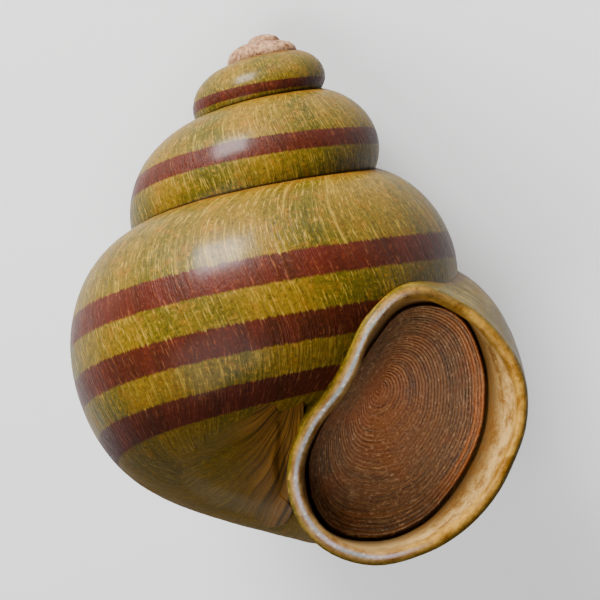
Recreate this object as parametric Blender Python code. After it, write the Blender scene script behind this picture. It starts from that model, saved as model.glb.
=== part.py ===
import math

import bmesh
import bpy
import numpy as np
from mathutils import Matrix, Vector

# Driving dimensions: lengths in millimetres, growth in turns back from the lip
SPIRE_TURNS = 5.0
COIL_RADIUS = 8.37
COIL_RADIUS_GROWTH = (0.6186, 0.0203, 0.0007)
COIL_DROP = 31.68
COIL_DROP_GROWTH = (0.3545, -0.1784, -0.0227)
WHORL_RADIUS = 10.08
WHORL_GROWTH = (-0.0377, -0.2366, -0.0144)
WHORL_SHAPE = (-0.126, 0.1636, -0.0609, 0.0168, 0.0207, -0.0023)
WHORL_SHAPE_YOUNG = (0.3411, -0.3483)
MOUTH_TURNS = 0.30
MOUTH_SHIFT = (1.15, 0.02)
MOUTH_SHRINK = 0.0885
MOUTH_SHAPE = (0.0551, 0.0284, 0.0303, -0.0845)
LIP_SLANT = (-0.0191, -0.2697, -0.0177, 0.2637)
START_ANGLE = -0.0675

# Swollen shoulder behind the lip: height, where it is highest, how far it reaches to the
# lip and back, and its middle and spread round the whorl
SHOULDER_SWELL = 2.9
SHOULDER_TURN = -0.07
SHOULDER_TO_LIP = 0.05
SHOULDER_BACK = 0.10
SHOULDER_ANGLE = 1.15
SHOULDER_SPREAD = 0.65

# Least distance of the whorls from the coil's axis
AXIS_CLEARANCE = 0.45

# First whorls, every half turn back: coil radius, drop below the top, and size
YOUNG_START = -2.5
YOUNG_BLEND = 0.25
YOUNG_COIL_RADIUS = (2.0, 1.85, 1.50, 1.15, 0.62, 0.40, 0.30)
YOUNG_COIL_DROP = (6.10, 4.05, 2.78, 2.10, 1.78, 1.64, 1.60)
YOUNG_WHORL_SCALE = (0.3137, 0.205, 0.122, 0.088, 0.059, 0.051, 0.045)

# Lip outline every 22.5 degrees from the outer side, and how far forward it stands
LIP_TURNS = 0.18
LIP_CENTRE = (9.52, -31.66)
LIP_RADIUS = (7.98, 8.63, 9.06, 9.6, 9.9, 8.21, 6.8, 6.77,
              8.26, 10.18, 10.99, 10.47, 9.12, 8.12, 7.57, 7.46)
LIP_FORWARD = (7.08, 7.15, 7.37, 8.19, 11.02, 12.66, 12.14, 11.02,
               10.06, 9.09, 8.34, 7.75, 7.37, 7.15, 7.08, 7.08)
LIP_WIDTH_OUTER = 0.80
LIP_WIDTH_INNER = 1.20
LIP_CREST = 0.35
LIP_PROFILE = ((0.3, 0.75), (0.7, 1.0), (1.3, 0.2))

# Operculum edge on the same angles, and the plane it lies in
LID_RADIUS = (4.95, 5.75, 7.2, 8.85, 8.7, 6.83, 5.85, 5.8,
              6.98, 8.5, 9.37, 8.25, 6.7, 5.37, 4.7, 4.6)
LID_PLANE = (-16.81, 0.312, -0.305)
LID_THICKNESS = 0.55
LID_DISH = 0.35
LID_GAP = 0.30
LID_NUCLEUS = (7.0, -28.6)
LID_ROUNDING = 0.12
LID_FRONT = (0.15, 0.4, 0.65, 0.85, 0.97)
LID_BACK = (0.97, 0.65, 0.15)

# Seat cut into the mouth: how far inside the lip or the lid's edge, and how deep
MOUTH_CUTS = ((-0.35, 1.2), (-0.1, 0.05), (0.0, -0.4))
SEAT_CUTS = ((0.0, -0.3), (0.0, LID_THICKNESS + 0.2), (-1.0, LID_THICKNESS + 0.8))

# Cavity: share of the whorl's radius that is hollow
CAVITY_SHARE = 0.65
CAVITY_SHARE_MOUTH = 0.74
CAVITY_PINCH = 0.14
CAVITY_PINCH_TURN = -0.88
CAVITY_END = -2.1
PILLAR_SHARE = 0.3

CAVITY_START = -0.11
CAVITY_WIDENING_TURNS = 0.4
CAVITY_PINCH_TURNS = 0.35

# Columella: heights and radii, with a rounded top inside the first whorl, and a foot that
# closes the navel: height, middle to the right and back, and half widths of each ring
COLUMELLA_TURNS = (-4.2, -0.75)
COLUMELLA_STEPS = 14
COLUMELLA_OFFSET = 0.05
COLUMELLA_TOP = ((0.50, 0.30), (0.35, 0.75))
COLUMELLA_FOOT = (
    (-28.0, 1.0, 0.0, 6.5, 7.5), (-31.0, 2.5, 0.0, 10.0, 9.6), (-32.8, 2.5, 0.3, 11.5, 7.9),
    (-34.3, 2.5, 0.8, 11.5, 5.4), (-35.8, 2.5, 2.2, 10.5, 3.0), (-37.3, 2.5, 5.2, 8.0, 2.4),
    (-38.0, 2.5, 7.0, 5.0, 1.2))

# How the tube starts at the apex, and how each length of it runs into the next
APEX_RINGS = ((0.35, 0.07), (0.75, 0.04))
OVERLAP = 0.09
OVERLAP_SHARE = 0.55
SPLITS = (-SPIRE_TURNS, -4.2, -3.4, -2.55, -1.65, -0.75, 0.0)

# Facet sizes
RINGS_PER_TURN = 34
YOUNG_RING_SAVING = 0.12
CAVITY_RINGS_PER_TURN = 22
RING_POINTS = 32

# Direction that points down when the shell lies on its back
REST_DOWN = (0.2054, 0.8446, 0.4945)

MM = 0.001


def blend(value):
    value = np.clip(value, 0.0, 1.0)
    return value * value * (3.0 - 2.0 * value)


def around(values, phi):
    """Smooth closed curve through values at equal angles."""
    count = len(values)
    place = (phi / (2.0 * math.pi) * count) % count
    low = np.floor(place).astype(int)
    part = place - low
    ring = np.array(values)
    before, start = ring[(low - 1) % count], ring[low % count]
    end, after = ring[(low + 1) % count], ring[(low + 2) % count]
    slope_a = (end - before) / 2.0
    slope_b = (after - start) / 2.0
    cubic = 2.0 * start - 2.0 * end + slope_a + slope_b
    square = -3.0 * start + 3.0 * end - 2.0 * slope_a - slope_b
    return ((cubic * part + square) * part + slope_a) * part + start


def power(base, growth, turn):
    a, b, c = growth
    return base * np.exp(a * turn + b * turn ** 2 + c * turn ** 3)


def young(values, turn):
    """Smooth curve through the values of the first whorls."""
    place = min(max(2.0 * (YOUNG_START - turn), 0.0), len(values) - 1.001)
    low = int(place)
    part = place - low
    before, start = values[max(low - 1, 0)], values[low]
    end, after = values[low + 1], values[min(low + 2, len(values) - 1)]
    slope_a, slope_b = (end - before) / 2.0, (after - start) / 2.0
    cubic = 2.0 * start - 2.0 * end + slope_a + slope_b
    square = -3.0 * start + 3.0 * end - 2.0 * slope_a - slope_b
    return ((cubic * part + square) * part + slope_a) * part + start


def whorl_centre(turn):
    near = blend((turn + MOUTH_TURNS) / MOUTH_TURNS)
    radius = power(COIL_RADIUS, COIL_RADIUS_GROWTH, turn) + MOUTH_SHIFT[0] * near
    height = -power(COIL_DROP, COIL_DROP_GROWTH, turn) + MOUTH_SHIFT[1] * near
    scale = power(1.0, WHORL_GROWTH, turn) * (1.0 - MOUTH_SHRINK * near)
    early = blend((YOUNG_START + YOUNG_BLEND - turn) / YOUNG_BLEND)
    radius = radius + early * (young(YOUNG_COIL_RADIUS, turn) - radius)
    height = height + early * (-young(YOUNG_COIL_DROP, turn) - height)
    scale = scale + early * (young(YOUNG_WHORL_SCALE, turn) - scale)
    return radius, height, scale


def whorl_radius(turn, phi):
    age = 1.0 - math.exp(turn)
    near = blend((turn + MOUTH_TURNS) / MOUTH_TURNS)
    c2, s2, c3, s3, c4, s4 = WHORL_SHAPE
    c2 = c2 + WHORL_SHAPE_YOUNG[0] * age + MOUTH_SHAPE[0] * near
    s2 = s2 + WHORL_SHAPE_YOUNG[1] * age + MOUTH_SHAPE[1] * near
    c3 = c3 + MOUTH_SHAPE[2] * near
    s3 = s3 + MOUTH_SHAPE[3] * near
    shape = 1.0 + c2 * np.cos(2 * phi) + s2 * np.sin(2 * phi) + c3 * np.cos(3 * phi)
    shape = shape + s3 * np.sin(3 * phi) + c4 * np.cos(4 * phi) + s4 * np.sin(4 * phi)
    return WHORL_RADIUS * shape


def slant(phi):
    a, b, c, d = LIP_SLANT
    return a * np.cos(phi) + b * np.sin(phi) + c * np.cos(2 * phi) + d * np.sin(2 * phi)


def shoulder(turn, phi):
    along = turn - SHOULDER_TURN
    along = along / (SHOULDER_TO_LIP if along > 0.0 else SHOULDER_BACK)
    across = 2.0 * np.sin((phi - SHOULDER_ANGLE) / 2.0) / SHOULDER_SPREAD
    return SHOULDER_SWELL * np.exp(-along ** 2 - across ** 2)


def section(turn, phi):
    """One growth line of the spiral tube, before the lip bends it forward."""
    radius, height, scale = whorl_centre(turn)
    reach = whorl_radius(turn, phi) * scale + shoulder(turn, phi)
    out = np.maximum(radius + reach * np.cos(phi), AXIS_CLEARANCE * scale)
    up = height + reach * np.sin(phi)
    angle = START_ANGLE - 2.0 * math.pi * turn - slant(phi)
    return np.stack([out * np.cos(angle), out * np.sin(angle), up], axis=-1)


def cavity_section(turn, phi, share):
    """One ring of the cavity, kept clear of the columella."""
    radius, height, scale = whorl_centre(turn)
    reach = WHORL_RADIUS * scale * share
    out = np.maximum(radius + reach * np.cos(phi), PILLAR_SHARE * radius)
    up = height + reach * np.sin(phi)
    angle = START_ANGLE - 2.0 * math.pi * turn
    ring = np.stack([out * np.cos(angle), out * np.sin(angle), up], axis=-1)
    return ring + lip_bend(turn, phi)


def mouth_ring(inward, forward, phi):
    """Lip outline moved toward its centre and toward the front."""
    reach = around(LIP_RADIUS, phi) - inward
    depth = around(LIP_FORWARD, phi) + forward
    x = LIP_CENTRE[0] + reach * np.cos(phi)
    z = LIP_CENTRE[1] + reach * np.sin(phi)
    return np.stack([x, -depth, z], axis=-1)


def lid_ring(grow, back, phi):
    """Operculum outline in its plane, grown outward and moved back."""
    reach = around(LID_RADIUS, phi) + grow
    x = LIP_CENTRE[0] + reach * np.cos(phi)
    z = LIP_CENTRE[1] + reach * np.sin(phi)
    start, along_x, along_z = LID_PLANE
    return np.stack([x, start + along_x * x + along_z * z + back, z], axis=-1)


def lip_bend(turn, phi):
    """How far the lip draws a growth line out of the regular spiral."""
    near = blend((turn + LIP_TURNS) / LIP_TURNS)
    return near * (mouth_ring(0.0, 0.0, phi) - section(0.0, phi))


def growth_line(turn, phi):
    return section(turn, phi) + lip_bend(turn, phi)


def closed_tube(name, rings):
    """Closed solid through a list of rings, each end closed to its middle."""
    count = len(rings[0])
    points = np.concatenate(rings + [rings[0].mean(axis=0)[None], rings[-1].mean(axis=0)[None]])
    faces = []
    for row in range(len(rings) - 1):
        for i in range(count):
            j = (i + 1) % count
            a, b = row * count, (row + 1) * count
            faces.append((a + i, a + j, b + j))
            faces.append((a + i, b + j, b + i))
    first, last = len(points) - 2, len(points) - 1
    top = (len(rings) - 1) * count
    for i in range(count):
        j = (i + 1) % count
        faces.append((first, j, i))
        faces.append((last, top + i, top + j))
    mesh = bpy.data.meshes.new(name)
    mesh.from_pydata((points * MM).tolist(), [], faces)
    work = bmesh.new()
    work.from_mesh(mesh)
    if work.calc_volume(signed=True) < 0.0:
        bmesh.ops.reverse_faces(work, faces=work.faces[:])
    work.to_mesh(mesh)
    work.free()
    solid = bpy.data.objects.new(name, mesh)
    bpy.context.collection.objects.link(solid)
    return solid


def combine(solid, other, operation):
    """Exact Boolean of two solids; the second one is used up."""
    cut = solid.modifiers.new("Combine", "BOOLEAN")
    cut.operation = operation
    cut.solver = "EXACT"
    cut.object = other
    bpy.context.view_layer.update()
    result = solid.evaluated_get(bpy.context.evaluated_depsgraph_get())
    mesh = bpy.data.meshes.new_from_object(result)
    solid.modifiers.clear()
    solid.data = mesh
    bpy.data.objects.remove(other, do_unlink=True)


def finish_solid(solid, material, turn_to_rest):
    solid.data.transform(turn_to_rest)
    work = bmesh.new()
    work.from_mesh(solid.data)
    bmesh.ops.remove_doubles(work, verts=work.verts[:], dist=1e-6)
    bmesh.ops.dissolve_degenerate(work, edges=work.edges[:], dist=1e-6)
    bmesh.ops.triangulate(work, faces=work.faces[:])
    for face in work.faces:
        face.smooth = True
    work.to_mesh(solid.data)
    work.free()
    solid.data.materials.clear()
    solid.data.materials.append(material)


def plain_material(name, colour, roughness):
    material = bpy.data.materials.new(name)
    material.use_nodes = True
    shader = material.node_tree.nodes["Principled BSDF"]
    shader.inputs["Base Color"].default_value = (*colour, 1.0)
    shader.inputs["Roughness"].default_value = roughness
    shader.inputs["Metallic"].default_value = 0.0
    return material


for item in list(bpy.data.objects):
    bpy.data.objects.remove(item, do_unlink=True)

phi = np.arange(RING_POINTS) * 2.0 * math.pi / RING_POINTS
lip_width = (LIP_WIDTH_OUTER + LIP_WIDTH_INNER) / 2.0
lip_width = lip_width + (LIP_WIDTH_OUTER - LIP_WIDTH_INNER) / 2.0 * np.cos(phi)

# Columella, the pillar that the whorls wind round
steps = np.linspace(*COLUMELLA_TURNS, COLUMELLA_STEPS)
profile = [(whorl_centre(turn)[1], whorl_centre(turn)[0]) for turn in steps]
top_height, top_radius = profile[0]
dome = [(top_height + rise, top_radius * share) for rise, share in COLUMELLA_TOP]
circles = [(height, 0.0, 0.0, radius, radius) for height, radius in dome + profile]
pillar = []
for height, aside, behind, half_width, half_depth in circles + list(COLUMELLA_FOOT):
    x = aside + half_width * np.cos(phi[::2] + COLUMELLA_OFFSET)
    y = behind + half_depth * np.sin(phi[::2] + COLUMELLA_OFFSET)
    pillar.append(np.stack([x, y, np.full_like(x, height)], axis=-1))
shell = closed_tube("shell", pillar)

# Whorls from the oldest to the last, each one running a little way into the next
for older, newer in zip(SPLITS[:-1], SPLITS[1:]):
    count = round((newer - older) * RINGS_PER_TURN * math.sqrt(1.0 + YOUNG_RING_SAVING * newer))
    turns = np.linspace(older, newer, count + 1)
    rings = [growth_line(turn, phi) for turn in turns]
    if older == SPLITS[0]:
        for shrink, back in reversed(APEX_RINGS):
            start = growth_line(older - back, phi)
            middle = start.mean(axis=0)
            rings.insert(0, middle + shrink * (start - middle))
    else:
        rings.insert(0, cavity_section(older - OVERLAP, phi, OVERLAP_SHARE))
    if newer < 0.0:
        rings.append(cavity_section(newer + OVERLAP, phi, OVERLAP_SHARE))
    else:
        for across, rise in LIP_PROFILE:
            rings.append(mouth_ring(across * lip_width, rise * LIP_CREST, phi))
    combine(shell, closed_tube("whorl", rings), "UNION")

# Winding cavity, open at the mouth, with the operculum's seat
inner_phi = phi[::2] + phi[1] / 2.0
inner_width = np.interp(inner_phi, phi, lip_width)
rings = [mouth_ring(inner_width + wider, forward, inner_phi) for wider, forward in MOUTH_CUTS]
rings.extend(lid_ring(LID_GAP + wider, back, inner_phi) for wider, back in SEAT_CUTS)
for turn in np.arange(CAVITY_START, CAVITY_END, -1.0 / CAVITY_RINGS_PER_TURN):
    widening = blend((turn + CAVITY_WIDENING_TURNS) / CAVITY_WIDENING_TURNS)
    share = CAVITY_SHARE + (CAVITY_SHARE_MOUTH - CAVITY_SHARE) * widening
    pinch = blend(1.0 - abs(turn - CAVITY_PINCH_TURN) / CAVITY_PINCH_TURNS)
    rings.append(cavity_section(turn, inner_phi, share - CAVITY_PINCH * pinch))
combine(shell, closed_tube("cavity", rings), "DIFFERENCE")

# Operculum, a dished plate that closes the mouth
start, along_x, along_z = LID_PLANE
nucleus_x, nucleus_z = LID_NUCLEUS
nucleus = np.array([nucleus_x, start + along_x * nucleus_x + along_z * nucleus_z, nucleus_z])
edge = lid_ring(0.0, 0.0, inner_phi)
inward = np.array([0.0, 1.0, 0.0])
front, back = [], []
for size in LID_FRONT:
    front.append(nucleus + size * (edge - nucleus) + LID_DISH * (1.0 - size ** 2) * inward)
for size in LID_BACK:
    depth = LID_DISH * (1.0 - size ** 2) + LID_THICKNESS
    back.append(nucleus + size * (edge - nucleus) + depth * inward)
sides = [edge + LID_ROUNDING * inward, edge + (LID_THICKNESS - LID_ROUNDING) * inward]
operculum = closed_tube("operculum", front + sides + back)

# Lay the shell down the way it rests, with its lowest point on the ground
to_rest = Vector(REST_DOWN).rotation_difference(Vector((0.0, 0.0, -1.0))).to_matrix().to_4x4()
shell.data.transform(to_rest)
corners = np.array([vertex.co for vertex in shell.data.vertices])
low, high = corners.min(axis=0), corners.max(axis=0)
place = Matrix.Translation((-(low[0] + high[0]) / 2.0, -(low[1] + high[1]) / 2.0, -low[2]))
operculum.data.transform(to_rest)

finish_solid(shell, plain_material("periostracum", (0.26, 0.19, 0.07), 0.35), place)
finish_solid(operculum, plain_material("horn", (0.10, 0.045, 0.02), 0.5), place)
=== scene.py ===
import math

import bmesh
import bpy
import numpy as np
from mathutils import Matrix, Vector
from mathutils.bvhtree import BVHTree


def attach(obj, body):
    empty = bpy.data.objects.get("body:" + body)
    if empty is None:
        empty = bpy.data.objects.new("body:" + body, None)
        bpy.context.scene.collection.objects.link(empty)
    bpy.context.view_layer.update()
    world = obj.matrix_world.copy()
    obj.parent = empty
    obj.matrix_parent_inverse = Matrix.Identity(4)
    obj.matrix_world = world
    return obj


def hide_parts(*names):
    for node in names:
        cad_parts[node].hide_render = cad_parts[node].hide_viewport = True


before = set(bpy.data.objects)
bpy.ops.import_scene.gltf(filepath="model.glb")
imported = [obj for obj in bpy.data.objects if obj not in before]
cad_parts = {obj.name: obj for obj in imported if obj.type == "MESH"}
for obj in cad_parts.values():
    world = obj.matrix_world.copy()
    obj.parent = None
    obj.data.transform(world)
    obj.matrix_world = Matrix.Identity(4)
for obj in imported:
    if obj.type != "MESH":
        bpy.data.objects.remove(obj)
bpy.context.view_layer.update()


# Shell
# The spiral shell of a mystery snail: limy walls under a thin horny skin, grown as one
# piece by adding growth lines at the mouth. Every ring of its skin here is one growth line.

# Sizes are in mm, with the tip of the spire on top and the mouth in front. A turn is a place
# along the spiral: 0 at the mouth and -1 one whorl earlier. phi goes round the tube.
MM = 0.001
SPIRE_TURNS = 5.0
START_ANGLE = -0.0675
AXIS_CLEARANCE = 0.45

# Values at the mouth, and how they change toward the tip: exp(a turn + b turn^2 + c turn^3)
COIL_RADIUS, COIL_RADIUS_GROWTH = 8.37, (0.6186, 0.0203, 0.0007)
COIL_DROP, COIL_DROP_GROWTH = 31.68, (0.3545, -0.1784, -0.0227)
WHORL_RADIUS, WHORL_GROWTH = 10.08, (-0.0377, -0.2366, -0.0144)

# Two, three and four waves round the whorl's section, as cosine and sine shares of its radius
WHORL_SHAPE = (-0.126, 0.1636, -0.0609, 0.0168, 0.0207, -0.0023)
WHORL_SHAPE_YOUNG = (0.3411, -0.3483)
MOUTH_SHAPE = (0.0551, 0.0284, 0.0303, -0.0845)
# Every growth line slants like the lip, in radians, by one and two waves round the tube
LIP_SLANT = (-0.0191, -0.2697, -0.0177, 0.2637)
# The last stretch before the mouth moves outward and narrows, and its shoulder swells
MOUTH_TURNS, MOUTH_SHIFT, MOUTH_SHRINK = 0.30, (1.15, 0.02), 0.0885
SHOULDER_SWELL, SHOULDER_TURN, SHOULDER_TO_LIP, SHOULDER_BACK = 2.9, -0.07, 0.05, 0.10
SHOULDER_ANGLE, SHOULDER_SPREAD = 1.15, 0.65

# First whorls, one value every half turn from YOUNG_START to the tip
YOUNG_START, YOUNG_BLEND = -2.5, 0.25
YOUNG_COIL_RADIUS = (2.0, 1.85, 1.50, 1.33, 0.66, 0.42, 0.30)
YOUNG_COIL_DROP = (6.10, 4.05, 3.00, 2.38, 1.82, 1.66, 1.60)
YOUNG_WHORL_SCALE = (0.3137, 0.205, 0.120, 0.079, 0.060, 0.052, 0.045)
APEX_RINGS = ((0.08, 0.25), (0.35, 0.22), (0.6, 0.17), (0.8, 0.11), (0.93, 0.05))

# Lip: its outline and how far it stands forward, at sixteen equal angles, and its rolled edge
LIP_TURNS = 0.18
LIP_CENTRE = (9.52, -31.66)
LIP_RADIUS = (7.98, 8.63, 9.06, 9.6, 9.9, 8.21, 6.8, 6.77,
              8.26, 10.18, 10.99, 10.47, 9.12, 8.12, 7.57, 7.46)
LIP_FORWARD = (7.08, 7.15, 7.37, 8.19, 11.02, 12.66, 12.14, 11.02,
               10.06, 9.09, 8.34, 7.75, 7.37, 7.15, 7.08, 7.08)
LIP_WIDTH_OUTER, LIP_WIDTH_INNER, LIP_CREST = 0.80, 1.20, 0.35
LIP_PROFILE = ((0.0, 0.0), (0.08, 0.3), (0.2, 0.62), (0.35, 0.86), (0.5, 0.97), (0.65, 1.0),
               (0.8, 0.9), (0.92, 0.6), (1.0, 0.1), (1.02, -0.8))

# Seat of the operculum inside the mouth, in a plane, and the hollow behind it
SEAT_RADIUS = (4.95, 5.75, 7.2, 8.85, 8.7, 6.83, 5.85, 5.8,
               6.98, 8.5, 9.37, 8.25, 6.7, 5.37, 4.7, 4.6)
SEAT_PLANE = (-16.81, 0.312, -0.305)
SEAT_GAP, SEAT_DEPTH, SEAT_FRONT = 0.30, 0.75, -0.3
SEAT_STEPS = ((0.0, 0.0), (0.0, SEAT_DEPTH), (-0.25, SEAT_DEPTH + 0.2), (-1.0, SEAT_DEPTH + 0.6))
WALL_RINGS = 21
CAVITY_SHARE, CAVITY_SHARE_MOUTH, CAVITY_WIDENING = 0.65, 0.74, 0.4
CAVITY_TURNS, CAVITY_RINGS_PER_TURN = (-0.11, -1.0), 40.0
PILLAR_SHARE = 0.3

# What keeps the older whorls out of the open mouth: walls, and room behind the operculum
CLEAR_OF_LIP, CLEAR_OF_SEAT = 0.6, 0.7
HIDDEN_FROM, HIDDEN_TO = SEAT_DEPTH + 0.9, SEAT_DEPTH + 1.2
CLEARED_BEFORE = -0.5

RING_POINTS = 120
RING_CROWDING = 0.42
RING_CROWDING_ANGLE = math.radians(20.0)
RINGS_PER_TURN = ((-SPIRE_TURNS, -3.0, 70), (-3.0, -2.0, 110), (-2.0, -1.0, 160), (-1.0, 0.0, 230))

# Values that the finish reads: depth is 0 on the skin, 1 past the lip and 2 at the seat, and
# the growth map goes on past turn 0 round the lip and down the wall
SEAT_VALUE, CAVITY_VALUE = 2.2, 3.0
LIP_MAP, WALL_MAP, SEAT_MAP = 0.004, 0.05, 0.06
FAR_FROM_WHORLS = 9.0
LAST_SUTURE = -0.02


def blend(value):
    value = np.clip(value, 0.0, 1.0)
    return value * value * (3.0 - 2.0 * value)


def curve_between(before, start, end, after, part):
    """Curve from start to end, with slopes that fit the values before and after them."""
    slope_a, slope_b = (end - before) / 2.0, (after - start) / 2.0
    cubic = 2.0 * start - 2.0 * end + slope_a + slope_b
    square = -3.0 * start + 3.0 * end - 2.0 * slope_a - slope_b
    return ((cubic * part + square) * part + slope_a) * part + start


def around(values, phi):
    """Smooth closed curve through values at equal angles."""
    values = np.array(values)
    count = len(values)
    place = (phi / (2.0 * math.pi) * count) % count
    low = np.floor(place).astype(int)
    before, start = values[(low - 1) % count], values[low % count]
    end, after = values[(low + 1) % count], values[(low + 2) % count]
    return curve_between(before, start, end, after, place - low)


def young(values, turn):
    """Smooth curve through the values of the first whorls, one every half turn."""
    values = np.array(values)
    last = len(values) - 1
    place = np.clip(2.0 * (YOUNG_START - turn), 0.0, last - 0.001)
    low = np.floor(place).astype(int)
    before, start = values[np.maximum(low - 1, 0)], values[low]
    end, after = values[low + 1], values[np.minimum(low + 2, last)]
    return curve_between(before, start, end, after, place - low)


def power(base, growth, turn):
    a, b, c = growth
    return base * np.exp(a * turn + b * turn ** 2 + c * turn ** 3)


def whorl_centre(turn):
    """Distance of the tube's middle from the axis, its height, and the tube's scale."""
    near = blend((turn + MOUTH_TURNS) / MOUTH_TURNS)
    radius = power(COIL_RADIUS, COIL_RADIUS_GROWTH, turn) + MOUTH_SHIFT[0] * near
    height = -power(COIL_DROP, COIL_DROP_GROWTH, turn) + MOUTH_SHIFT[1] * near
    scale = power(1.0, WHORL_GROWTH, turn) * (1.0 - MOUTH_SHRINK * near)
    early = blend((YOUNG_START + YOUNG_BLEND - turn) / YOUNG_BLEND)
    radius = radius + early * (young(YOUNG_COIL_RADIUS, turn) - radius)
    height = height + early * (-young(YOUNG_COIL_DROP, turn) - height)
    scale = scale + early * (young(YOUNG_WHORL_SCALE, turn) - scale)
    return radius, height, scale


def whorl_radius(turn, phi):
    age = 1.0 - np.exp(turn)
    near = blend((turn + MOUTH_TURNS) / MOUTH_TURNS)
    c2, s2, c3, s3, c4, s4 = WHORL_SHAPE
    c2 = c2 + WHORL_SHAPE_YOUNG[0] * age + MOUTH_SHAPE[0] * near
    s2 = s2 + WHORL_SHAPE_YOUNG[1] * age + MOUTH_SHAPE[1] * near
    c3 = c3 + MOUTH_SHAPE[2] * near
    s3 = s3 + MOUTH_SHAPE[3] * near
    shape = 1.0 + c2 * np.cos(2 * phi) + s2 * np.sin(2 * phi) + c3 * np.cos(3 * phi)
    shape = shape + s3 * np.sin(3 * phi) + c4 * np.cos(4 * phi) + s4 * np.sin(4 * phi)
    return WHORL_RADIUS * shape


def slant(phi):
    a, b, c, d = LIP_SLANT
    return a * np.cos(phi) + b * np.sin(phi) + c * np.cos(2 * phi) + d * np.sin(2 * phi)


def shoulder(turn, phi):
    """Swelling of the last whorl's shoulder, just behind the lip."""
    along = turn - SHOULDER_TURN
    along = along / (SHOULDER_TO_LIP if along > 0.0 else SHOULDER_BACK)
    across = 2.0 * np.sin((phi - SHOULDER_ANGLE) / 2.0) / SHOULDER_SPREAD
    return SHOULDER_SWELL * np.exp(-along ** 2 - across ** 2)


def section(turn, phi):
    """One growth line of the spiral tube, before the lip bends it forward."""
    radius, height, scale = whorl_centre(turn)
    reach = whorl_radius(turn, phi) * scale + shoulder(turn, phi)
    out = np.maximum(radius + reach * np.cos(phi), AXIS_CLEARANCE * scale)
    up = height + reach * np.sin(phi)
    angle = START_ANGLE - 2.0 * math.pi * turn - slant(phi)
    return np.stack([out * np.cos(angle), out * np.sin(angle), up], axis=-1)


def mouth_ring(inward, forward, phi):
    """Lip outline moved toward its centre and toward the front."""
    reach = around(LIP_RADIUS, phi) - inward
    depth = around(LIP_FORWARD, phi) + forward
    x = LIP_CENTRE[0] + reach * np.cos(phi)
    z = LIP_CENTRE[1] + reach * np.sin(phi)
    return np.stack([x, -depth, z], axis=-1)


def seat_ring(grow, back, phi):
    """Outline of the operculum in its plane, grown outward and moved back."""
    reach = around(SEAT_RADIUS, phi) + grow
    x = LIP_CENTRE[0] + reach * np.cos(phi)
    z = LIP_CENTRE[1] + reach * np.sin(phi)
    start, along_x, along_z = SEAT_PLANE
    return np.stack([x, start + along_x * x + along_z * z + back, z], axis=-1)


def lip_bend(turn, phi):
    """How far the lip draws a growth line out of the regular spiral."""
    near = blend((turn + LIP_TURNS) / LIP_TURNS)
    return near * (mouth_ring(0.0, 0.0, phi) - section(0.0, phi))


def growth_line(turn, phi):
    return section(turn, phi) + lip_bend(turn, phi)


def cavity_section(turn, phi, share):
    radius, height, scale = whorl_centre(turn)
    reach = WHORL_RADIUS * scale * share
    out = np.maximum(radius + reach * np.cos(phi), PILLAR_SHARE * radius)
    up = height + reach * np.sin(phi)
    angle = START_ANGLE - 2.0 * math.pi * turn
    ring = np.stack([out * np.cos(angle), out * np.sin(angle), up], axis=-1)
    return ring + lip_bend(turn, phi)


def clear_of_mouth(points):
    """Moves what would stand in the open mouth to behind the operculum."""
    aside, above = points[:, 0] - LIP_CENTRE[0], points[:, 2] - LIP_CENTRE[1]
    reach, phi = np.hypot(aside, above), np.arctan2(above, aside)
    start, along_x, along_z = SEAT_PLANE
    seat_y = start + along_x * points[:, 0] + along_z * points[:, 2]
    lip_y = -around(LIP_FORWARD, phi)
    down = np.clip((points[:, 1] - lip_y) / (seat_y - lip_y), 0.0, 1.0)
    lip_reach = around(LIP_RADIUS, phi) - CLEAR_OF_LIP
    wall = lip_reach + down * (around(SEAT_RADIUS, phi) + CLEAR_OF_SEAT - lip_reach)
    inside = (reach < wall) & (points[:, 1] < seat_y + HIDDEN_FROM)
    cleared = points.copy()
    cleared[inside, 1] = seat_y[inside] + HIDDEN_TO
    return cleared


def room_to_whorl(turn, phi, points, step):
    """Distance from one growth line to the skin of the whorl a step before or after it."""
    other = turn + step
    across = np.hypot(points[:, 0], points[:, 1])
    for _ in range(3):
        radius, height, scale = whorl_centre(other)
        aside, above = across - radius, points[:, 2] - height
        their_phi = np.arctan2(above, aside)
        other = turn + step + (slant(phi) - slant(their_phi)) / (2.0 * math.pi)
    room = np.hypot(aside, above) - whorl_radius(other, their_phi) * scale
    grown = (other > -SPIRE_TURNS) & (other < LAST_SUTURE)
    return np.where(grown, room, FAR_FROM_WHORLS)


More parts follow.
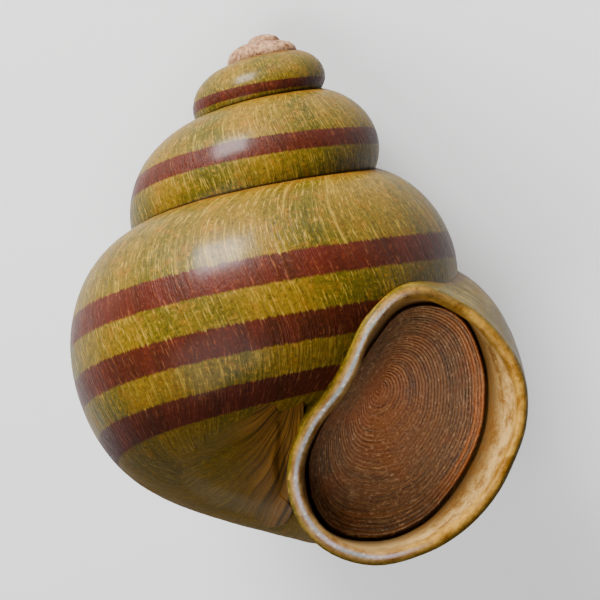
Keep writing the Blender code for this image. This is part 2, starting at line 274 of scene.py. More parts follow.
def woven_mesh(name, rings, closed_middles, values, along, across):
    """Closed mesh through rings; values are point attributes, along and across its UV map."""
    count = len(rings[0])
    points = np.concatenate(rings + [closed_middles[0][None], closed_middles[1][None]])
    columns = np.arange(count)
    after = (columns + 1) % count
    faces = []
    for row in range(len(rings) - 1):
        a, b = row * count, (row + 1) * count
        faces.append(np.stack([a + columns, a + after, b + after, b + columns], axis=-1))
    quads = np.concatenate(faces)
    first, last = len(points) - 2, len(points) - 1
    end = (len(rings) - 1) * count
    caps = [(first, j, i) for i, j in zip(columns, after)]
    caps += [(last, end + i, end + j) for i, j in zip(columns, after)]
    polygons = quads.tolist() + [tuple(int(i) for i in cap) for cap in caps]
    # The volume's sign tells whether the faces point out
    p = points[quads]
    signed = np.einsum("ij,ij->i", p[:, 0], np.cross(p[:, 1], p[:, 2])).sum()
    signed += np.einsum("ij,ij->i", p[:, 0], np.cross(p[:, 2], p[:, 3])).sum()
    if signed < 0.0:
        polygons = [tuple(reversed(polygon)) for polygon in polygons]
    mesh = bpy.data.meshes.new(name)
    mesh.from_pydata((points * MM).tolist(), [], polygons)
    for label, numbers in values.items():
        numbers = np.concatenate([numbers, [numbers[0], numbers[-1]]]).astype(np.float32)
        mesh.attributes.new(label, "FLOAT", "POINT").data.foreach_set("value", numbers)
    # UV map, which goes on past 1 where a face crosses the seam between last and first column
    corner = np.zeros(len(mesh.loops), np.int32)
    mesh.loops.foreach_get("vertex_index", corner)
    column = np.where(corner < first, corner % count, 0)
    row = np.where(corner < first, corner // count, np.where(corner == last, len(rings) - 1, 0))
    face = np.repeat(np.arange(len(mesh.polygons)), [len(f) for f in polygons])
    low = np.full(len(mesh.polygons), count)
    high = np.zeros(len(mesh.polygons), int)
    np.minimum.at(low, face, column)
    np.maximum.at(high, face, column)
    at_seam = (high - low) > count // 2
    u = across[column] + np.where(at_seam[face] & (column == 0), 1.0, 0.0)
    v = along[row]
    layer = mesh.uv_layers.new(name="Growth")
    layer.data.foreach_set("uv", np.stack([u, v], axis=-1).astype(np.float32).ravel())
    mesh.polygons.foreach_set("use_smooth", [True] * len(mesh.polygons))
    piece = bpy.data.objects.new(name, mesh)
    bpy.context.scene.collection.objects.link(piece)
    return piece


spread = (np.arange(RING_POINTS) / RING_POINTS - 0.5) * 2.0 * math.pi
ring_phi = RING_CROWDING_ANGLE + spread - RING_CROWDING * np.sin(spread)
lip_width = (LIP_WIDTH_OUTER + LIP_WIDTH_INNER) / 2.0
lip_width = lip_width + (LIP_WIDTH_OUTER - LIP_WIDTH_INNER) / 2.0 * np.cos(ring_phi)
rings, ring_turns, depths, rooms = [], [], [], []


def add_ring(ring, turn, depth, room=FAR_FROM_WHORLS):
    rings.append(ring)
    ring_turns.append(turn)
    depths.append(depth)
    rooms.append(np.full(RING_POINTS, room))


# Skin from the apex to the lip, then round the lip and back down inside the mouth
for shrink, back in APEX_RINGS:
    line = growth_line(-SPIRE_TURNS - back, ring_phi)
    add_ring(line.mean(axis=0) + shrink * (line - line.mean(axis=0)), -SPIRE_TURNS - back, 0.0)
for start, stop, density in RINGS_PER_TURN:
    for turn in np.linspace(start, stop, round((stop - start) * density), endpoint=False):
        line = growth_line(turn, ring_phi)
        older = room_to_whorl(turn, ring_phi, line, -1.0)
        newer = room_to_whorl(turn, ring_phi, line, 1.0)
        room = np.clip(np.minimum(older, newer), -1.0, FAR_FROM_WHORLS)
        add_ring(clear_of_mouth(line) if turn < CLEARED_BEFORE else line, turn, 0.0, room)
for across, rise in LIP_PROFILE:
    add_ring(mouth_ring(across * lip_width, rise * LIP_CREST, ring_phi), LIP_MAP * across, across)
lip_inside = rings[-1]
seat_front = seat_ring(SEAT_GAP, SEAT_FRONT, ring_phi)
for share in np.linspace(0.0, 1.0, WALL_RINGS + 1)[1:]:
    wall_ring = lip_inside + share * (seat_front - lip_inside)
    add_ring(wall_ring, LIP_MAP + WALL_MAP * share, 1.0 + share)
for grow, back in SEAT_STEPS:
    add_ring(seat_ring(SEAT_GAP + grow, back, ring_phi), SEAT_MAP, SEAT_VALUE)
for turn in np.arange(*CAVITY_TURNS, -1.0 / CAVITY_RINGS_PER_TURN):
    widening = blend((turn + CAVITY_WIDENING) / CAVITY_WIDENING)
    share = CAVITY_SHARE + (CAVITY_SHARE_MOUTH - CAVITY_SHARE) * widening
    add_ring(cavity_section(turn, ring_phi, share), turn, CAVITY_VALUE)

middles = (rings[0].mean(axis=0), rings[-1].mean(axis=0))
shell_values = {
    "turn": np.repeat(ring_turns, RING_POINTS),
    "depth": np.repeat(depths, RING_POINTS),
    "room": np.concatenate(rooms),
}
shell = woven_mesh("shell_skin", rings, middles, shell_values,
                   np.array(ring_turns), ring_phi / (2.0 * math.pi))

# Columella: the pillar that the whorls wind round, hidden inside them
COLUMELLA_TURNS, COLUMELLA_RINGS, COLUMELLA_POINTS = (-4.2, -0.75), 30, 64
COLUMELLA_TOP = ((0.53, 0.02), (0.52, 0.16), (0.50, 0.30), (0.45, 0.52), (0.35, 0.75), (0.2, 0.92))
COLUMELLA_GROWTH, COLUMELLA_MAP = (-SPIRE_TURNS, -0.3), -0.9

pillar_phi = np.linspace(0.0, 2.0 * math.pi, COLUMELLA_POINTS, endpoint=False)
top_radius, top_height, _ = whorl_centre(COLUMELLA_TURNS[0])
profile = [(top_height + rise, top_radius * share) for rise, share in COLUMELLA_TOP]
for turn in np.linspace(*COLUMELLA_TURNS, COLUMELLA_RINGS):
    radius, height, _ = whorl_centre(turn)
    profile.append((height, radius))
pillar_rings = []
for height, radius in profile:
    x, y = radius * np.cos(pillar_phi), radius * np.sin(pillar_phi)
    pillar_rings.append(np.stack([x, y, np.full_like(x, height)], axis=-1))
pillar_turns = np.linspace(*COLUMELLA_GROWTH, len(profile))
pillar_count = len(profile) * COLUMELLA_POINTS
pillar_values = {
    "turn": np.repeat(pillar_turns, COLUMELLA_POINTS),
    "depth": np.zeros(pillar_count),
    "room": np.full(pillar_count, FAR_FROM_WHORLS),
}
pillar_ends = (pillar_rings[0].mean(axis=0), pillar_rings[-1].mean(axis=0))
pillar = woven_mesh("columella", pillar_rings, pillar_ends, pillar_values,
                    pillar_turns, pillar_phi / (2.0 * math.pi) + COLUMELLA_MAP)

# The closed navel, between the base of the last whorl and the lip. Its front is that of the
# columella's foot, whose rings give height, middle to the right and back, and half widths.
COLUMELLA_FOOT = (
    (-28.0, 2.5, 0.0, 9.0, 11.2), (-29.5, 2.5, 0.0, 10.0, 10.5), (-31.0, 2.5, 0.0, 10.0, 9.6),
    (-32.8, 2.5, 0.3, 11.5, 7.9), (-34.3, 2.5, 0.8, 11.5, 5.4), (-35.8, 2.5, 2.2, 10.5, 3.0),
    (-37.3, 2.5, 5.2, 8.0, 2.4), (-38.0, 2.5, 7.0, 5.0, 1.2))
FOOT_SMOOTHING = (-0.5, 0.0, 0.5)
IN_FRONT, CLIMB = -30.0, 0.1

# Its outline: middle, reach to each side, corners, slope of the lower and left edges, lean
NAVEL_MIDDLE, NAVEL_LEFT, NAVEL_RIGHT, NAVEL_TOP, NAVEL_BOTTOM = (-3.0, -33.4), 6.0, 3.6, 5.0, 4.1
NAVEL_SQUARENESS, NAVEL_SHEAR, NAVEL_LEAN = 0.6, -0.3, 0.38
NAVEL_RINGS, NAVEL_POINTS, NAVEL_FIRST_RING = 50, 128, 0.015
NAVEL_BACK_SHARES, NAVEL_THICKNESS = (1.0, 0.7, 0.35, 0.1), 1.2

# Its relief: drawn into the skin round it, with a furrow on the right and a rise to the lip
NAVEL_BLEND, NAVEL_TUCK, NAVEL_RIM, NAVEL_RIM_WIDTH = 2.4, 0.12, 0.55, 0.4
NAVEL_LIFT_LOW, NAVEL_LIFT_HEIGHT = -38.4, 2.6
NAVEL_FURROW, NAVEL_FURROW_WIDTH = -0.5, 0.8
LIP_SIDE_Y, LIP_SIDE_SHARE, LIP_SIDE_LEFT, LIP_SIDE_WIDTH = -10.2, 0.45, -2.8, 3.2

# Its folds: a fan below one point, bent and swaying, in shares of half a turn round it, and
# how far their brown tone reaches
FAN_POINT, FAN_BEND, FAN_START = (1.0, -28.4), -0.045, -0.05
FAN_SWAYS = ((0.008, 1.7, 9.0), (0.004, 4.1, -17.0))
FAN_MAP, FAN_MAP_PER_MM = 0.70, 0.011
FOLD_TONE_START, FOLD_TONE_REACH, FOLD_TONE_DOWN = 1.5, 4.0, 0.3


def foot_front(x, z):
    """Front of the columella's foot, smoothed between its rings."""
    heights, *shape = (np.array(values) for values in zip(*COLUMELLA_FOOT))
    front = 0.0
    for shift in FOOT_SMOOTHING:
        aside, behind, half_width, half_depth = (
            np.interp(shift - z, -heights, row) for row in shape)
        bulge = math.sqrt(max(0.0, 1.0 - ((x - aside) / half_width) ** 2))
        front = front + behind - half_depth * bulge
    return front / len(FOOT_SMOOTHING)


def skin_front(tree, x, z):
    """Depth of the skin straight behind a place, climbing until there is skin behind it."""
    while True:
        hit = tree.ray_cast(Vector((x, IN_FRONT, z)) * MM, Vector((0.0, 1.0, 0.0)))[0]
        if hit is not None:
            return hit.y / MM, z
        z += CLIMB


def navel_point(tree, x, z, share):
    """Point of the closed navel: the foot's front, drawn smoothly into the skin round it."""
    skin_y, z = skin_front(tree, x, z)
    foot_y = foot_front(x, z)
    gap = skin_y - foot_y
    y = min(skin_y, foot_y) - max(NAVEL_BLEND - abs(gap), 0.0) ** 2 / NAVEL_BLEND / 4.0
    y += max(-gap - NAVEL_BLEND, 0.0)
    edge = blend((share - NAVEL_RIM) / NAVEL_RIM_WIDTH)
    y += edge * (skin_y + NAVEL_TUCK - y)
    above_base = blend((z - NAVEL_LIFT_LOW) / NAVEL_LIFT_HEIGHT)
    y += above_base * blend((x - NAVEL_FURROW) / NAVEL_FURROW_WIDTH) * (foot_y - y)
    toward_lip = above_base * LIP_SIDE_SHARE * blend((x - LIP_SIDE_LEFT) / LIP_SIDE_WIDTH)
    return x, y + toward_lip * min(LIP_SIDE_Y - y, 0.0), z


skin_faces = bmesh.new()
skin_faces.from_mesh(shell.data)
skin_tree = BVHTree.FromBMesh(skin_faces)
skin_faces.free()
navel_phi = np.linspace(0.0, 2.0 * math.pi, NAVEL_POINTS, endpoint=False)
navel_x = np.sign(np.cos(navel_phi)) * np.abs(np.cos(navel_phi)) ** NAVEL_SQUARENESS
navel_x = navel_x * np.where(navel_x < 0.0, NAVEL_LEFT, NAVEL_RIGHT)
navel_z = np.sign(np.sin(navel_phi)) * np.abs(np.sin(navel_phi)) ** NAVEL_SQUARENESS
navel_z = navel_z * np.where(navel_z > 0.0, NAVEL_TOP, NAVEL_BOTTOM)
navel_z = navel_z + NAVEL_SHEAR * navel_x * np.where((navel_z < 0.0) | (navel_x < 0.0), 1.0, 0.0)
navel_x = navel_x + np.where(navel_x > 0.0, NAVEL_LEAN * np.maximum(navel_z, 0.0), 0.0)
navel_rings = []
for share in np.linspace(NAVEL_FIRST_RING, 1.0, NAVEL_RINGS):
    ring = [navel_point(skin_tree, NAVEL_MIDDLE[0] + share * x, NAVEL_MIDDLE[1] + share * z, share)
            for x, z in zip(navel_x, navel_z)]
    navel_rings.append(np.array(ring))
rim = navel_rings[-1]
for share in NAVEL_BACK_SHARES:
    back = rim.mean(axis=0) + share * (rim - rim.mean(axis=0))
    navel_rings.append(back + np.array([0.0, NAVEL_THICKNESS, 0.0]))
navel_points = np.concatenate(navel_rings)
fan_aside, fan_down = FAN_POINT[0] - navel_points[:, 0], FAN_POINT[1] - navel_points[:, 2]
fan = np.arctan2(fan_aside, fan_down)
fan_reach = np.hypot(fan_aside, fan_down)
fan_bent = fan + FAN_BEND * fan_reach
for height, along_fold, across_fold in FAN_SWAYS:
    fan_bent = fan_bent + height * np.sin(along_fold * fan_reach + across_fold * fan)
fan_turn = FAN_START - fan_bent / math.pi
fold_reach = np.hypot(fan_aside, fan_down * FOLD_TONE_DOWN) / FOLD_TONE_REACH
navel_values = {
    "turn": fan_turn,
    "depth": np.zeros(len(navel_points)),
    "room": np.full(len(navel_points), FAR_FROM_WHORLS),
    "navel": blend(FOLD_TONE_START - fold_reach),
}
navel_ends = (navel_rings[0].mean(axis=0), navel_rings[-1].mean(axis=0))
navel = woven_mesh("closed_navel", navel_rings, navel_ends, navel_values,
                   np.zeros(len(navel_rings)), navel_phi)
corner = np.zeros(len(navel.data.loops), np.int32)
navel.data.loops.foreach_get("vertex_index", corner)
corner = np.minimum(corner, len(navel_points) - 1)
fan_map = np.stack([FAN_MAP + FAN_MAP_PER_MM * fan_reach, fan_turn], axis=-1)[corner]
navel.data.uv_layers["Growth"].data.foreach_set("uv", fan_map.astype(np.float32).ravel())

# It lies on its back, in a stable position, with its lowest point on the ground
REST_DOWN = (0.2054, 0.8446, 0.4945)
to_rest = Vector(REST_DOWN).rotation_difference(Vector((0.0, 0.0, -1.0))).to_matrix().to_4x4()
turned = np.concatenate(rings) @ np.array(to_rest.to_3x3()).T
low, high = turned.min(axis=0), turned.max(axis=0)
ground_middle = Vector(((low[0] + high[0]) / 2.0, (low[1] + high[1]) / 2.0, low[2]))
place = Matrix.Translation(-ground_middle * MM)
for piece in (shell, pillar, navel):
    piece.data.transform(place @ to_rest)


class Field:
    """One value in a node tree; arithmetic on it adds Math nodes."""

    def __init__(self, tree, socket=None):
        self.tree = tree
        self.socket = socket

    def node(self, kind, settings=None, inputs=None, output=0):
        made = self.tree.nodes.new(kind)
        for name, value in (settings or {}).items():
            setattr(made, name, value)
        for name, value in (inputs or {}).items():
            if isinstance(value, Field):
                self.tree.links.new(value.socket, made.inputs[name])
            else:
                made.inputs[name].default_value = value
        return Field(self.tree, made.outputs[output])

    def beside(self, output):
        """Another output of the node that gives this value."""
        return Field(self.tree, self.socket.node.outputs[output])

    def maths(self, operation, *values):
        return self.node("ShaderNodeMath", {"operation": operation}, dict(enumerate(values)))

    def __add__(self, other):
        return self.maths("ADD", self, other)

    def __radd__(self, other):
        return self.maths("ADD", other, self)

    def __sub__(self, other):
        return self.maths("SUBTRACT", self, other)

    def __rsub__(self, other):
        return self.maths("SUBTRACT", other, self)

    def __mul__(self, other):
        return self.maths("MULTIPLY", self, other)

    def __rmul__(self, other):
        return self.maths("MULTIPLY", other, self)

    def step(self, low, high):
        """Smooth step from 0 where this is low to 1 where it is high."""
        return self.node("ShaderNodeMapRange", {"interpolation_type": "SMOOTHSTEP"},
                         {"Value": self, "From Min": low, "From Max": high})

    def mix(self, first, second):
        """Colour between first and second, by this value."""
        settings = {"data_type": "RGBA", "clamp_factor": True}
        factor, colour_a, colour_b, result = 0, 6, 7, 2
        return self.node("ShaderNodeMix", settings,
                         {factor: self, colour_a: first, colour_b: second}, result)

    def vector(self, x, y, z):
        return self.node("ShaderNodeCombineXYZ", None, {"X": x, "Y": y, "Z": z})

    def noise(self, place, scale, detail, roughness=0.5):
        return self.node("ShaderNodeTexNoise", None,
                         {"Vector": place, "Scale": scale, "Detail": detail,
                          "Roughness": roughness})

    def attribute(self, name):
        return self.node("ShaderNodeAttribute", {"attribute_name": name}, None, "Fac")


def new_relief(name, numbers, seed):
    """Geometry Nodes tree with a mesh, named numbers and a seed coming in."""
    tree = bpy.data.node_groups.new(name, "GeometryNodeTree")
    tree.interface.new_socket("Mesh", in_out="INPUT", socket_type="NodeSocketGeometry")
    for label in numbers:
        tree.interface.new_socket(label, in_out="INPUT", socket_type="NodeSocketFloat")
    tree.interface.new_socket("Seed", in_out="INPUT", socket_type="NodeSocketFloat")
    tree.interface.new_socket("Mesh", in_out="OUTPUT", socket_type="NodeSocketGeometry")
    start = tree.nodes.new("NodeGroupInput")
    fields = {socket.name: Field(tree, socket) for socket in start.outputs if socket.name}
    return tree, fields, {**numbers, "Seed": seed}


def mesh_value(tree, name):
    """Point attribute of the mesh that a relief works on."""
    return Field(tree).node("GeometryNodeInputNamedAttribute", {"data_type": "FLOAT"},
                            {"Name": name})


def end_relief(tree, fields, rise, material):
    """Raises the mesh along its normals by rise, and ends the tree."""
    normal = rise.node("GeometryNodeInputNormal")
    offset = rise.node("ShaderNodeVectorMath", {"operation": "SCALE"},
                       {"Vector": normal, "Scale": rise})
    moved = rise.node("GeometryNodeSetPosition", None,
                      {"Geometry": fields["Mesh"], "Offset": offset})
    real = rise.node("GeometryNodeRealizeInstances", None, {"Geometry": moved})
    coated = rise.node("GeometryNodeSetMaterial", None, {"Geometry": real, "Material": material})
    end = tree.nodes.new("NodeGroupOutput")
    tree.links.new(coated.socket, end.inputs["Mesh"])


def apply_relief(piece, tree, values):
    """Plain mesh with the tree's relief, in place of the smooth one."""
    modifier = piece.modifiers.new("Relief", "NODES")
    modifier.node_group = tree
    for item in tree.interface.items_tree:
        if item.in_out == "INPUT" and item.name in values:
            modifier[item.identifier] = float(values[item.name])
    bpy.context.view_layer.update()
    made = piece.evaluated_get(bpy.context.evaluated_depsgraph_get())
    mesh = bpy.data.meshes.new_from_object(made)
    piece.modifiers.clear()
    piece.data = mesh


def new_finish(name):
    """Material with one Principled shader, and a Field to build on."""
    material = bpy.data.materials.new(name)
    material.use_nodes = True
    tree = material.node_tree
    return material, tree.nodes["Principled BSDF"], Field(tree)


def tint(red, green, blue):
    """Scene colour for the 0 to 255 numbers of a screen colour."""
    shares = [value / 255.0 for value in (red, green, blue)]
    return (*[s / 12.92 if s <= 0.04045 else ((s + 0.055) / 1.055) ** 2.4 for s in shares], 1.0)


def feed(shader, sockets):
    for name, value in sockets.items():
        if isinstance(value, Field):
            value.tree.links.new(value.socket, shader.inputs[name])
        else:
            shader.inputs[name].default_value = value


def layered(colour, layers):
    """Colour with layers over it, each given by where it is, how strong it is and its colour."""
    for where, strength, over in layers:
        colour = (where * strength).mix(colour, over)
    return colour


# Growth map of the skin: round the tube and along the spiral, with noise drawn out along
# the growth lines, and the attributes that tell depth, room and navel
skin, skin_shader, f = new_finish("banded_skin")
growth_map = f.node("ShaderNodeUVMap", {"uv_map": "Growth"})
around_tube = f.node("ShaderNodeSeparateXYZ", None, {"Vector": growth_map})
along_growth = around_tube.beside("Y")
depth = f.attribute("depth")
room = f.attribute("room")
near_navel = f.attribute("navel")
object_place = f.node("ShaderNodeTexCoord", None, None, "Object")
turn_round = around_tube * (2.0 * math.pi)
side = f.maths("COSINE", turn_round)
upper = f.maths("SINE", turn_round)

streaks = f.noise(f.vector(along_growth * 46.0, around_tube * 5.0, 0.0), 1.0, 5.0, 0.6)
fine = f.noise(f.vector(along_growth * 250.0, around_tube * 9.0, 3.0), 1.0, 3.0, 0.6)
dashes = f.noise(f.vector(along_growth * 520.0, around_tube * 42.0, 5.0), 1.0, 2.0, 0.6)
broad = f.noise(f.vector(along_growth * 14.0, around_tube * 3.0, 7.0), 1.0, 3.0)
mottle = f.noise(object_place, 760.0, 5.0, 0.7)
grain = f.noise(object_place, 3600.0, 4.0, 0.65)

# Olive and gold skin: amber mottling, moss streaks, light and dark grain and growth lines,
# and painted shade that makes the base side of each whorl darker and browner
base_side = (0.0 - upper).step(0.5, 0.95)
coloured = layered(broad.step(0.35, 0.68).mix(tint(56, 50, 4), tint(84, 64, 6)), (
    (mottle.step(0.5, 0.68), 0.5, tint(98, 60, 2)),
    (streaks.step(0.52, 0.72), 0.5, tint(46, 40, 4)),
    (grain.step(0.54, 0.68), 0.5, tint(128, 92, 18)),
    (1.0 - grain.step(0.34, 0.46), 0.6, tint(34, 26, 2)),
    (dashes.step(0.56, 0.7), 0.5, tint(142, 114, 44)),
    (fine.step(0.54, 0.7), 0.4, tint(134, 108, 36)),
    (1.0 - fine.step(0.3, 0.44), 0.45, tint(36, 30, 2)),
    # Painted shade: the base side of each whorl, facing down, is mixed toward dark brown
    (base_side, 0.4, tint(62, 44, 4)),
))

# Three dark bands, by their upper and lower edges in degrees round the tube. They drift as
# the whorls wind. On older whorls than the last the lower two sink out of sight.
BANDS = ((16.1, 3.7, 0.0), (-10.2, -22.9, 1.0), (-36.9, -51.0, 1.0))
BAND_TURN, BAND_DRIFT, BAND_SINK, BAND_EDGE = -0.75, (-4.2, -4.15), (0.25, 30.0), 0.6
past_turn = (along_growth - BAND_TURN) * -1.0
drift = past_turn * BAND_DRIFT[0] + past_turn * past_turn * BAND_DRIFT[1]
ragged = (dashes - 0.5) * 2.4 + (fine - 0.5) * 2.0
band_angle = around_tube * 360.0 - drift + ragged
sink = f.maths("MAXIMUM", past_turn - BAND_SINK[0], 0.0) * BAND_SINK[1]
bands = None
for top, bottom, sinks in BANDS:
    place_in = band_angle + sink * sinks
    above_bottom = place_in.step(bottom - BAND_EDGE, bottom + BAND_EDGE)
    band = above_bottom * (1.0 - place_in.step(top - BAND_EDGE, top + BAND_EDGE))
    bands = band if bands is None else bands + band
bands = bands * along_growth.step(-3.55, -3.2) * (1.0 - along_growth.step(-0.05, -0.02))
band_brown = layered(streaks.step(0.3, 0.7).mix(tint(38, 9, 4), tint(58, 15, 8)), (
    (grain.step(0.52, 0.68), 0.35, tint(84, 32, 18)),
    (dashes.step(0.58, 0.72), 0.4, tint(112, 62, 38)),
))

# Amber under each suture, painted shade darkening the sutures, worn first whorls and the navel's
# folds
shoulder_strip = (1.0 - room.step(0.2, 1.3)) * upper.step(0.2, 0.7)
# Painted shade: a dark line along each suture, in the crease where the whorls meet
suture_shade = 1.0 - room.step(0.02, 0.24)
nuclear = 1.0 - along_growth.step(-3.6, -3.15)
worn = (grain * 0.6 + mottle * 0.4).step(0.36, 0.62).mix(tint(78, 44, 24), tint(158, 122, 92))
folds = f.noise(f.vector(along_growth * 80.0, around_tube * 6.0, 2.0), 1.0, 5.0, 0.65)
fold_tone = folds.step(0.35, 0.62).mix(tint(38, 22, 5), tint(108, 70, 22))
coloured = layered(coloured, (
    (bands, 0.95, band_brown),
    (shoulder_strip, 0.55, tint(92, 52, 8)),
    (suture_shade, 0.9, tint(34, 20, 8)),
    (nuclear, 0.92, worn),
    (near_navel, 0.85, fold_tone),
))

# Lip: gold outside, and on the columellar side a line of bluish pearl along the lip's crest, partly
# a painted highlight
inner_side = (0.0 - side).step(-0.2, 0.45)
blotches = mottle.step(0.35, 0.65)
pearl = f.noise(object_place, 300.0, 2.0).step(0.35, 0.65).mix(tint(92, 96, 94), tint(124, 110, 112))
pearl = (grain.step(0.52, 0.72) * 0.7).mix(pearl, tint(176, 170, 150))
# Painted highlight: the pale bluish line along the crest of the columellar lip
pearl_and_highlight_line = depth.step(0.34, 0.56) * (1.0 - depth.step(0.6, 0.82))
pearl = pearl_and_highlight_line.mix(blotches.mix(tint(84, 56, 22), tint(116, 90, 52)), pearl)
gold = blotches.mix(tint(88, 56, 10), tint(132, 98, 36))
coloured = depth.step(0.02, 0.4).mix(coloured, inner_side.mix(gold, pearl))

# Wall within the mouth: streaked cream, with painted shade making it browner toward the operculum's
# seat and darker in the hollow beyond
wall_streaks = f.noise(f.vector(around_tube * 26.0, depth * 2.6, 4.0), 1.0, 5.0, 0.65)
# Painted shade: the wall turns browner deeper in the mouth
deep_wall_shade = wall_streaks.step(0.4, 0.6).mix(tint(74, 42, 14), tint(110, 72, 30))
wall = layered(wall_streaks.step(0.4, 0.62).mix(tint(146, 116, 66), tint(98, 66, 26)), (
    (grain.step(0.52, 0.7), 0.5, tint(172, 142, 90)),
    (depth.step(1.3, 2.0), 0.75, deep_wall_shade),
    (inner_side, 0.7, tint(104, 84, 52)),
))
coloured = depth.step(0.95, 1.2).mix(coloured, wall)
# Painted shade: the hollow behind the operculum's seat is dark brown
coloured = depth.step(2.3, 2.9).mix(coloured, tint(60, 40, 26))

skin_bump = f.node("ShaderNodeBump", None, {
    "Strength": 0.7, "Distance": 0.11 * MM, "Height": grain * 0.6 + dashes * 0.8 + fine})
feed(skin_shader, {
    "Base Color": coloured,
    "Roughness": 0.38 + mottle.step(0.3, 0.8) * 0.12 + base_side * 0.3,
    "Coat Weight": 0.09 * (1.0 - base_side) * (1.0 - nuclear * 0.9),
    "Coat Roughness": 0.22,
    "Specular IOR Level": 0.06,
    "Normal": skin_bump,
})

# Growth lines raised on the skin, coarser as the shell grew, fading out round the lip
tree, fields, numbers = new_relief("growth lines", {
    "Fine Lines per Turn": 150.0, "Fine Height": 0.04 * MM,
    "Ridges per Turn": 26.0, "Ridge Height": 0.08 * MM}, 4.0)
NAVEL_RELIEF = {"Ridge Height": 0.02 * MM, "Fine Height": 0.02 * MM}
turn_here = mesh_value(tree, "turn")
depth_here = mesh_value(tree, "depth")
sway = turn_here.noise(turn_here.node("GeometryNodeInputPosition"), 90.0, 2.0)
fine_place = sway.vector(turn_here * fields["Fine Lines per Turn"], sway * 2.0, fields["Seed"])
ridge_place = sway.vector(turn_here * fields["Ridges per Turn"], sway * 3.0, fields["Seed"])
fine_lines = sway.noise(fine_place, 1.0, 2.0)
ridges = sway.noise(ridge_place, 1.0, 3.0)
grown_size = turn_here.maths("EXPONENT", turn_here * 0.55)
outside = 1.0 - depth_here.step(0.0, 1.2)
rise = (fine_lines - 0.5) * fields["Fine Height"] + (ridges - 0.5) * fields["Ridge Height"]
end_relief(tree, fields, rise * 2.0 * grown_size * outside, skin)
apply_relief(shell, tree, numbers)
apply_relief(pillar, tree, numbers)
apply_relief(navel, tree, {**numbers, **NAVEL_RELIEF})

together = {"active_object": shell, "selected_editable_objects": [shell, pillar, navel]}
with bpy.context.temp_override(**together):
    bpy.ops.object.join()
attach(shell, "root")
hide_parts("shell")


# Operculum
# The horny plate that closes the mouth, grown in rings round its nucleus. It sits just
# inside the lip with a hair's breadth of room all round.

LID_THICKNESS, LID_DISH, LID_ROUNDING = 0.55, 0.35, 0.12
LID_NUCLEUS = (7.0, -28.6)
LID_RINGS, LID_POINTS = 190, 192
LID_FIRST_RING, LID_LAST_RING = 0.012, 0.985
LID_EDGE_STEPS = (0.25, 0.6, 1.0)
LID_BACK_SIZES = (0.97, 0.8, 0.5, 0.2, 0.05)
EDGE_GROWTH, BACK_GROWTH = 0.99, 2.0

lid_phi = np.linspace(-math.pi, math.pi, LID_POINTS, endpoint=False)
nucleus_x, nucleus_z = LID_NUCLEUS
start, along_x, along_z = SEAT_PLANE
nucleus = np.array([nucleus_x, start + along_x * nucleus_x + along_z * nucleus_z, nucleus_z])
edge = seat_ring(0.0, 0.0, lid_phi)
lid_rings, lid_growth = [], []


def add_lid_ring(size, back, growth):
    inward = np.array([0.0, back, 0.0])
    lid_rings.append(nucleus + size * (edge - nucleus) + inward)
    lid_growth.append(growth)


for size in np.linspace(LID_FIRST_RING, LID_LAST_RING, LID_RINGS):
    add_lid_ring(size, LID_DISH * (1.0 - size ** 2), size)
for share in LID_EDGE_STEPS:
    size = LID_LAST_RING + (1.0 - LID_LAST_RING) * share
    add_lid_ring(size, LID_ROUNDING * share, EDGE_GROWTH)
add_lid_ring(1.0, LID_THICKNESS - LID_ROUNDING, BACK_GROWTH)
for size in LID_BACK_SIZES:
    add_lid_ring(size, LID_DISH * (1.0 - size ** 2) + LID_THICKNESS, BACK_GROWTH)
lid_middles = (lid_rings[0].mean(axis=0), lid_rings[-1].mean(axis=0))
lid_values = {"growth": np.repeat(lid_growth, LID_POINTS)}
lid = woven_mesh("operculum_plate", lid_rings, lid_middles, lid_values,
                 np.array(lid_growth), lid_phi / (2.0 * math.pi))
lid.data.transform(place @ to_rest)

# Brown horn: a reddish middle, an orange margin toward the outer lip, uneven dark and light
# rings, thin pale ring edges and dry specks
horn, horn_shader, f = new_finish("ringed_horn")
lid_map = f.node("ShaderNodeUVMap", {"uv_map": "Growth"})
round_lid = f.node("ShaderNodeSeparateXYZ", None, {"Vector": lid_map})
size = round_lid.beside("Y")
turn_round = round_lid * (2.0 * math.pi)
toward_lip = f.maths("COSINE", turn_round)
upward = f.maths("SINE", turn_round)
object_place = f.node("ShaderNodeTexCoord", None, None, "Object")
wander = f.noise(object_place, 330.0, 3.0, 0.55)
ring_place = f.vector(size * 60.0 + wander * 3.0, toward_lip * 0.6, upward * 0.6)
ring_tone = f.noise(ring_place, 1.0, 4.0, 0.65)
thin_place = f.vector(size * 230.0 + wander * 6.0, toward_lip * 9.0, upward * 9.0)
thin_tone = f.noise(thin_place, 1.0, 3.0, 0.6)
dust = f.noise(object_place, 4300.0, 3.0, 0.7)
blotch = f.noise(object_place, 300.0, 4.0, 0.6)
margin = size.step(0.8, 0.98) * toward_lip.step(0.0, 0.7)
ring_line = (thin_tone * 0.75 + dust * 0.25).step(0.53, 0.61)
brown = layered(size.step(0.1, 0.8).mix(tint(128, 70, 30), tint(100, 70, 42)), (
    (ring_tone.step(0.48, 0.7), 0.75, tint(136, 82, 36)),
    (1.0 - ring_tone.step(0.32, 0.47), 0.8, tint(36, 20, 12)),
    (blotch.step(0.5, 0.72), 0.5, tint(134, 60, 16)),
    (1.0 - blotch.step(0.3, 0.42), 0.5, tint(56, 46, 44)),
    (margin * ring_tone.step(0.42, 0.6), 0.85, tint(158, 84, 18)),
    (ring_line, 0.6, tint(188, 146, 100)),
    (dust.step(0.6, 0.72), 0.5, tint(196, 160, 124)),
    (1.0 - dust.step(0.3, 0.42), 0.6, tint(24, 14, 8)),
))
horn_bump = f.node("ShaderNodeBump", None, {
    "Strength": 0.8, "Distance": 0.08 * MM, "Height": thin_tone + dust})
feed(horn_shader, {
    "Base Color": brown,
    "Roughness": 0.42 + dust * 0.2,
    "Specular IOR Level": 0.4,
    "Normal": horn_bump,
})

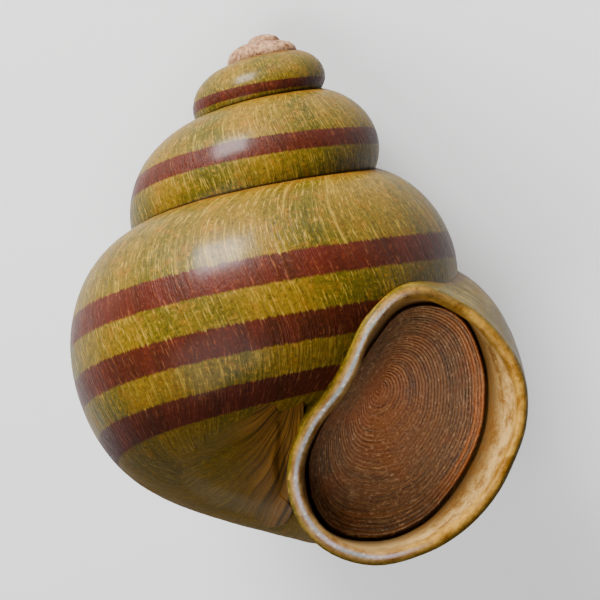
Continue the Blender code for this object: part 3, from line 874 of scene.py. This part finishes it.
# Rings raised on the plate's front, each a little step of growth
tree, fields, numbers = new_relief("growth rings", {
    "Rings": 34.0, "Ring Height": 0.05 * MM, "Waviness": 1.6, "Unevenness": 0.12 * MM}, 9.0)
size_here = mesh_value(tree, "growth")
position = size_here.node("GeometryNodeInputPosition")
sway = size_here.noise(position, 170.0, 3.0)
phase = size_here * fields["Rings"] + (sway - 0.5) * fields["Waviness"]
saw = phase.maths("FRACT", phase)
ring_step = saw.step(0.0, 0.75) - saw.step(0.8, 1.0)
thin_rings = sway.vector(size_here * fields["Rings"] * 3.0, sway * 2.0, fields["Seed"])
thin_step = sway.noise(thin_rings, 1.0, 2.0)
uneven = sway.noise(position, 260.0, 2.0) - 0.5
front_only = 1.0 - size_here.step(LID_LAST_RING, 1.0)
rise = (ring_step + thin_step - 1.0) * fields["Ring Height"] + uneven * fields["Unevenness"]
end_relief(tree, fields, rise * front_only, horn)
apply_relief(lid, tree, numbers)
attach(lid, "root")
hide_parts("operculum")


# Table, light and camera
# A plain pale surface under soft studio light: a lamp high on the left and a broad, weaker
# one low on the left. The camera looks down on the open mouth.

TABLE_REACH = 2.0
table_corners = [(x * TABLE_REACH, y * TABLE_REACH, 0.0)
                 for x, y in ((-1, -1), (1, -1), (1, 1), (-1, 1))]
table_mesh = bpy.data.meshes.new("table_top")
table_mesh.from_pydata(table_corners, [], [(0, 1, 2, 3)])
table = bpy.data.objects.new("table_top", table_mesh)
bpy.context.scene.collection.objects.link(table)
paper, paper_shader, f = new_finish("white_paper")
feed(paper_shader, {
    "Base Color": (0.6, 0.6, 0.6, 1.0),
    "Roughness": 0.8,
    "Specular IOR Level": 0.2,
    "Emission Color": (1.0, 1.0, 1.0, 1.0),
    "Emission Strength": 0.26,
})
table_mesh.materials.append(paper)

# The view is set up round the upright shell, then lies down with it
VIEW_ROLL, VIEW_TILT = -0.0473, 0.1015
VIEW_DISTANCE, VIEW_LENS = 228.9, 184.3
VIEW_PIVOT = np.array([0.0, 0.0, -18.62])
VIEW_ASIDE = (1.773, -2.618)
CLIP_START_M = 0.01
look = np.array([0.0, math.cos(VIEW_TILT), math.sin(VIEW_TILT)])
unrolled_up = np.array([0.0, -math.sin(VIEW_TILT), math.cos(VIEW_TILT)])
unrolled_right = np.array([1.0, 0.0, 0.0])
right = math.cos(VIEW_ROLL) * unrolled_right + math.sin(VIEW_ROLL) * unrolled_up
up = -math.sin(VIEW_ROLL) * unrolled_right + math.cos(VIEW_ROLL) * unrolled_up
eye = VIEW_PIVOT - VIEW_DISTANCE * look + VIEW_ASIDE[0] * right + VIEW_ASIDE[1] * up
camera = bpy.data.objects.new("camera", bpy.data.cameras.new("camera"))
camera.data.lens = VIEW_LENS
camera.data.clip_start = CLIP_START_M
facing = Matrix((right, up, -look)).transposed().to_4x4()
camera.matrix_world = place @ to_rest @ Matrix.Translation(Vector(eye) * MM) @ facing
bpy.context.scene.collection.objects.link(camera)
bpy.context.scene.camera = camera


def soft_light(name, direction, distance, size, power_w):
    """Square lamp on the camera's side, placed by right, up and toward the camera."""
    lamp = bpy.data.lights.new(name, "AREA")
    lamp.size = size
    lamp.energy = power_w
    holder = bpy.data.objects.new(name, lamp)
    aim = direction[0] * right + direction[1] * up - direction[2] * look
    aim = Vector(aim / np.linalg.norm(aim))
    aim.rotate(to_rest)
    holder.location = aim * distance
    holder.rotation_euler = aim.to_track_quat("Z", "Y").to_euler()
    bpy.context.scene.collection.objects.link(holder)


soft_light("key_light", (-1.0, 1.5, 1.15), 0.34, 0.14, 6.6)
soft_light("fill_light", (-0.5, -0.7, 1.0), 0.4, 0.3, 2.0)
world = bpy.data.worlds.new("studio")
world.use_nodes = True
background = world.node_tree.nodes["Background"]
background.inputs["Color"].default_value = (1.0, 1.0, 1.0, 1.0)
background.inputs["Strength"].default_value = 0.07
bpy.context.scene.world = world
